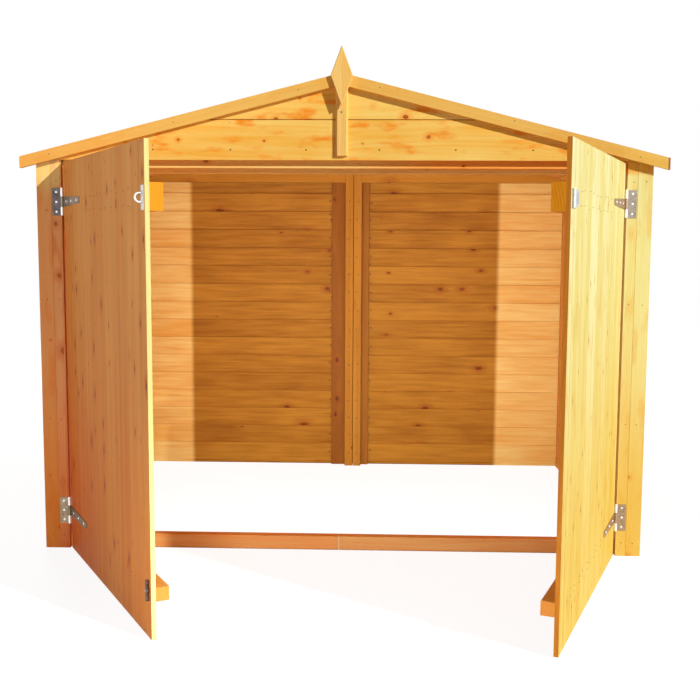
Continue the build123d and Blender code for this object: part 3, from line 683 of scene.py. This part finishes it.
# Nails: round wire nails through the boards into whatever lies behind them, with dark, lightly rusted heads.
# They are spaced by eye, four to a door board on each ledge and one to an overlap board on each batten.
NAIL_STEEL = (0.10, 0.065, 0.045)
NAIL_RUST = (0.20, 0.075, 0.025)
nail_head = 0.0028
small_head = 0.0017
large_head = 0.0036
nail_rise = 0.0009
nail_bite = 0.0003
nail_stray = 0.004
nail_sides = 8
nail_taper = 0.88
nail_rim = 0.3
nail_steel, nail_shader, nail_place, _ = blank_material("nail_steel")
rust = nail_place.node("ShaderNodeTexNoise", {}, {"Vector": nail_place, "Scale": 400.0, "Detail": 3.0})
nail_colour = rust.step(0.4, 0.65).blend(NAIL_STEEL, NAIL_RUST)
finish_surface(nail_shader, nail_colour, 0.55 + rust * 0.3, rust, fine_relief)
nail_shader.inputs["Metallic"].default_value = 0.5


def drive_nail(build, place, outward, head=nail_head):
    """One nail head: a low cone let into the face, with its top set in by a rim."""
    seat = facing_out(place + outward * (nail_rise / 2 - nail_bite), outward)
    verts = bmesh.ops.create_cone(build, cap_ends=True, segments=nail_sides, radius1=head,
                                  radius2=head * nail_taper, depth=nail_rise, matrix=seat)["verts"]
    faces = {face for vert in verts for face in vert.link_faces}
    top = max(faces, key=lambda face: face.calc_center_median().dot(outward))
    bmesh.ops.inset_region(build, faces=[top], thickness=head * nail_rim, depth=nail_bite)


def stray():
    return hand.uniform(-nail_stray, nail_stray)


door_nail_side = 0.036
strap_clear = 0.235
fitting_clear = 0.09
ledge_nail_heights = (ledge_low + 0.010, ledge_low + 0.026, ledge_high - 0.054, ledge_high - 0.014)
door_boards = int(door_width / door_board)
for side_name, (face_origin, along_door, outward) in door_frames.items():
    door_nails = bmesh.new()
    for number in range(door_boards):
        for offset in (-door_nail_side, door_nail_side):
            reach = door_start + (number + 0.5) * door_board + offset
            if reach < strap_clear or reach > door_end - fitting_clear:
                continue
            for height in ledge_nail_heights:
                spot = face_origin + along_door * (reach + stray()) + UP * (height + stray())
                drive_nail(door_nails, spot, outward, small_head)
    finish_piece(f"{side_name}_door_nails", door_nails, nail_steel, f"{side_name}_door")

ridge_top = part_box("ridge_beam")[1].z
front_nails = bmesh.new()
gable_nail_reaches = (0.115, 0.355, 0.60, 0.84)
gable_nail_rise = 0.032
stem_nail_rise = 0.134
for sign in (-1, 1):
    for reach in gable_nail_reaches:
        spot = Vector((sign * reach + stray(), gable_low.y, gable_low.z + gable_nail_rise))
        drive_nail(front_nails, spot, -BACK)
stem_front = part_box("finial_stem")[0]
drive_nail(front_nails, Vector((stray(), stem_front.y, stem_front.z + stem_nail_rise)), -BACK)
verge_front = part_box("front_bargeboard_left")[0].y
verge_middle = -0.0036
verge_stray = 4
verge_nail_reaches = (0.12, 0.52, 0.93)
for sign in (-1, 1):
    for reach in verge_nail_reaches:
        height = ridge_top + verge_middle - reach * roof_slope
        spot = Vector((sign * reach + stray() * verge_stray, verge_front, height + stray()))
        drive_nail(front_nails, spot, -BACK, small_head)
strip_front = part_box("left_jamb_strip")[0].y
strip_heights = (0.045, 0.43, 0.82, 1.20)
jamb_middle = 0.9115
corner_middle = 0.952
for sign in (-1, 1):
    for middle in (jamb_middle, corner_middle):
        for height in strip_heights:
            spot = Vector((sign * middle + stray(), strip_front, height + stray()))
            drive_nail(front_nails, spot, -BACK, small_head)
finish_piece("front_nails", front_nails, nail_steel, "shelter")

clad_lean = clad_board / clad_exposure
clad_rows = 15
clad_nail_rise = 0.022
wall_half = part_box("right_wall")[1].x
batten_columns = (0.0, 0.633, 1.266)
back_columns = (-0.90, -0.45, -0.018, 0.018, 0.45, 0.90)
cladding_nails = bmesh.new()
for row in range(clad_rows):
    height = row * clad_exposure + clad_nail_rise
    sunk = clad_lean * clad_nail_rise
    for sign in (-1, 1):
        leaning_out = Vector((sign, 0, clad_lean)).normalized()
        for column in batten_columns:
            spot = Vector((sign * (wall_half - sunk), column + stray(), height))
            drive_nail(cladding_nails, spot, leaning_out)
    for column in back_columns:
        spot = Vector((column + stray(), back_outside - sunk, height))
        drive_nail(cladding_nails, spot, Vector((0, 1, clad_lean)).normalized())
finish_piece("cladding_nails", cladding_nails, nail_steel, "shelter")

stile_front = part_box("back_stiles")[0].y
cover_left, cover_right = (corner.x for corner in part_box("back_cover_strips"))
stile_middle = 0.0185
cover_gap = 0.007
inside_rise = 0.045
inner_depth = 0.00949
inside_nails = bmesh.new()
for row in range(clad_rows):
    height = row * clad_exposure + clad_lap + inside_rise
    depth = inner_depth + clad_lean * inside_rise
    for column in (cover_left - cover_gap, cover_right + cover_gap):
        spot = Vector((column + stray(), back_outside - depth, height + stray()))
        spot.y -= clad_lean * (spot.z - height)
        drive_nail(inside_nails, spot, Vector((0, -1, -clad_lean)).normalized(), large_head)
    for sign in (-1, 1):
        spot = Vector((sign * stile_middle + stray(), stile_front, height + stray()))
        drive_nail(inside_nails, spot, -BACK)
finish_piece("inside_nails", inside_nails, nail_steel, "shelter")

# Clout nails: broad galvanised heads that hold the felt along the eaves and the edges of the ridge cap.
# They are driven by eye, about a hand's width apart.
clout_head = 0.0045
clout_pitch = 0.105
clout_start = 0.7
eaves_setback = 0.022
cap_setback = 0.016
eaves_line = roof_end - eaves_setback
cap_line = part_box("felt_ridge_cap")[1].x - cap_setback
felt_front, felt_back = (corner.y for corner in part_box("felt_right"))
felt_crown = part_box("felt_right")[1].z
cap_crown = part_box("felt_ridge_cap")[1].z
clout_nails = bmesh.new()
for sign in (-1, 1):
    off_roof = Vector((sign * sin(roof_pitch), 0, cos(roof_pitch)))
    for line, crown in ((eaves_line, felt_crown), (cap_line, cap_crown)):
        for number in range(int((felt_back - felt_front) / clout_pitch)):
            reach = line + stray()
            depth = felt_front + (number + clout_start) * clout_pitch + stray()
            spot = Vector((sign * reach, depth, crown - reach * roof_slope))
            drive_nail(clout_nails, spot, off_roof, clout_head)
finish_piece("felt_clout_nails", clout_nails, zinc, "shelter")

# Turn button: a small dark brown casting on the left door, held by one screw so that it turns.
# Its edges are rounded, and its lacquer has worn in patches.
BUTTON_BROWN = (0.06, 0.022, 0.012)
BUTTON_WORN = (0.12, 0.05, 0.025)
button_round = 0.0011
sharp_from = radians(50)
button_lacquer, button_shader, button_place, _ = blank_material("brown_lacquer")
worn = button_place.node("ShaderNodeTexNoise", {}, {"Vector": button_place, "Scale": 180.0, "Detail": 3.0})
button_colour = worn.step(0.4, 0.7).blend(BUTTON_BROWN, BUTTON_WORN)
finish_surface(button_shader, button_colour, 0.4 + worn * 0.2, worn, fine_relief)
button = merged_copy("turn_button")
sharp = [edge for edge in button.edges if edge.is_manifold and edge.calc_face_angle() > sharp_from]
bmesh.ops.bevel(button, geom=sharp, offset=button_round, affect="EDGES", segments=2, profile=0.5, material=-1)
cast_button = finish_piece("cast_turn_button", button, button_lacquer, "turn_button")
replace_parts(cast_button, "turn_button")

# Stage: a plain pale floor that keeps the shelter's shadow, under a white surround.
# A key lamp stands at the right, with soft ones at the left, near the ground, behind and inside the doorway.
floor_size = 30.0
floor_build = bmesh.new()
bmesh.ops.create_grid(floor_build, x_segments=1, y_segments=1, size=floor_size)
floor_mesh = bpy.data.meshes.new("floor")
floor_build.to_mesh(floor_mesh)
floor_build.free()
floor = bpy.data.objects.new("floor", floor_mesh)
bpy.context.scene.collection.objects.link(floor)


def seen_directly(tree):
    """1 for rays that look at the backdrop itself or at its reflection, 0 for the light it gives."""
    path = tree.nodes.new("ShaderNodeLightPath")
    ray_kinds = ("Is Camera Ray", "Is Glossy Ray", "Is Transmission Ray")
    rays = [Shade(tree, path.outputs[key]) for key in ray_kinds]
    return rays[0].maths("MAXIMUM", rays[0], rays[1].maths("MAXIMUM", rays[1], rays[2]))


FLOOR_GREY = (0.72, 0.72, 0.72)
FLOOR_SHADOW_CATCH = (0.18, 0.18, 0.18)
floor_glow = 0.90
floor_paint, floor_shader, _, _ = blank_material("pale_floor")
floor_tree = floor_paint.node_tree
seen = seen_directly(floor_tree)
bounce = seen.node("ShaderNodeBsdfDiffuse", {}, {"Color": opaque(FLOOR_GREY)})
catch = seen.node("ShaderNodeBsdfDiffuse", {}, {"Color": opaque(FLOOR_SHADOW_CATCH)})
glow = seen.node("ShaderNodeEmission", {}, {"Strength": floor_glow})
shown = seen.node("ShaderNodeAddShader", {}, {0: catch, 1: glow})
floor_mix = seen.node("ShaderNodeMixShader", {}, {0: seen, 1: bounce, 2: shown})
floor_tree.links.new(floor_mix.socket, floor_tree.nodes["Material Output"].inputs["Surface"])
floor_tree.nodes.remove(floor_shader)
floor_mesh.materials.append(floor_paint)

ambient = 0.09
world = bpy.data.worlds.new("white_surround")
bpy.context.scene.world = world
world.use_nodes = True
background = world.node_tree.nodes["Background"]
surround = seen_directly(world.node_tree)
world.node_tree.links.new((surround * (1 - ambient) + ambient).socket, background.inputs["Strength"])
background.inputs["Color"].default_value = (1, 1, 1, 1)


def lamp(name, kind, place, aim, energy, **settings):
    """A lamp at one place that points at another, unseen by the camera."""
    data = bpy.data.lights.new(name, kind)
    data.energy = energy
    for key, value in settings.items():
        setattr(data, key, value)
    made = bpy.data.objects.new(name, data)
    made.location = place
    made.rotation_euler = (place - aim).to_track_quat("Z", "Y").to_euler()
    made.visible_camera = False
    bpy.context.scene.collection.objects.link(made)
    return made


key_turn = radians(53.3)
key_height = radians(22.5)
key_distance = 10
key_softness = radians(1.2)
key_from = Vector((sin(key_turn) * cos(key_height), -cos(key_turn) * cos(key_height), sin(key_height)))
middle_point = Vector((0, 0.2, 0.8))
lamp("key", "SUN", middle_point + key_from * key_distance, middle_point, energy=3.70, angle=key_softness)
fill_place = Vector((-2.3, -2.1, 0.5))
fill_aim = Vector((-0.6, 0, 0.6))
lamp("fill", "AREA", fill_place, fill_aim, energy=14.8, shape="DISK", size=1.5)
foot_place = Vector((-0.05, -1.5, 0.3))
foot_aim = Vector((-0.05, 0, 0.02))
foot_spread = radians(75)
lamp("foot", "AREA", foot_place, foot_aim, energy=1.9, shape="RECTANGLE", size=1.0, size_y=0.3,
     spread=foot_spread)
rear_place = Vector((-3.0, 5.5, 3.5))
rear_aim = Vector((0, 0.9, 0.7))
lamp("rear", "AREA", rear_place, rear_aim, energy=240, shape="DISK", size=2.5)
plate_low, plate_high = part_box("front_top_plate")
inside_width = 1.70
inside_height = 1.10
inside_gap = 0.01
inside_place = Vector((0, plate_high.y + inside_gap, plate_low.z - inside_height / 2))
lamp("inside", "AREA", inside_place, inside_place + BACK, energy=12.7, shape="RECTANGLE", size=inside_width,
     size_y=inside_height)

# Camera: about a metre up and a little over three metres in front of the doorway,
# turned a little to the left and down.
camera_place = (0.1345, -3.2739, 1.0158)
camera_dip = 0.1074
camera_roll = -0.0051
camera_turn = 0.0332
camera_data = bpy.data.cameras.new("camera")
camera_data.sensor_width = 36
camera_data.lens = 52.177
camera = bpy.data.objects.new("camera", camera_data)
camera.location = camera_place
camera.rotation_euler = (radians(90) - camera_dip, camera_roll, camera_turn)
bpy.context.scene.collection.objects.link(camera)
bpy.context.scene.camera = camera
bpy.context.scene.view_settings.view_transform = "Standard"
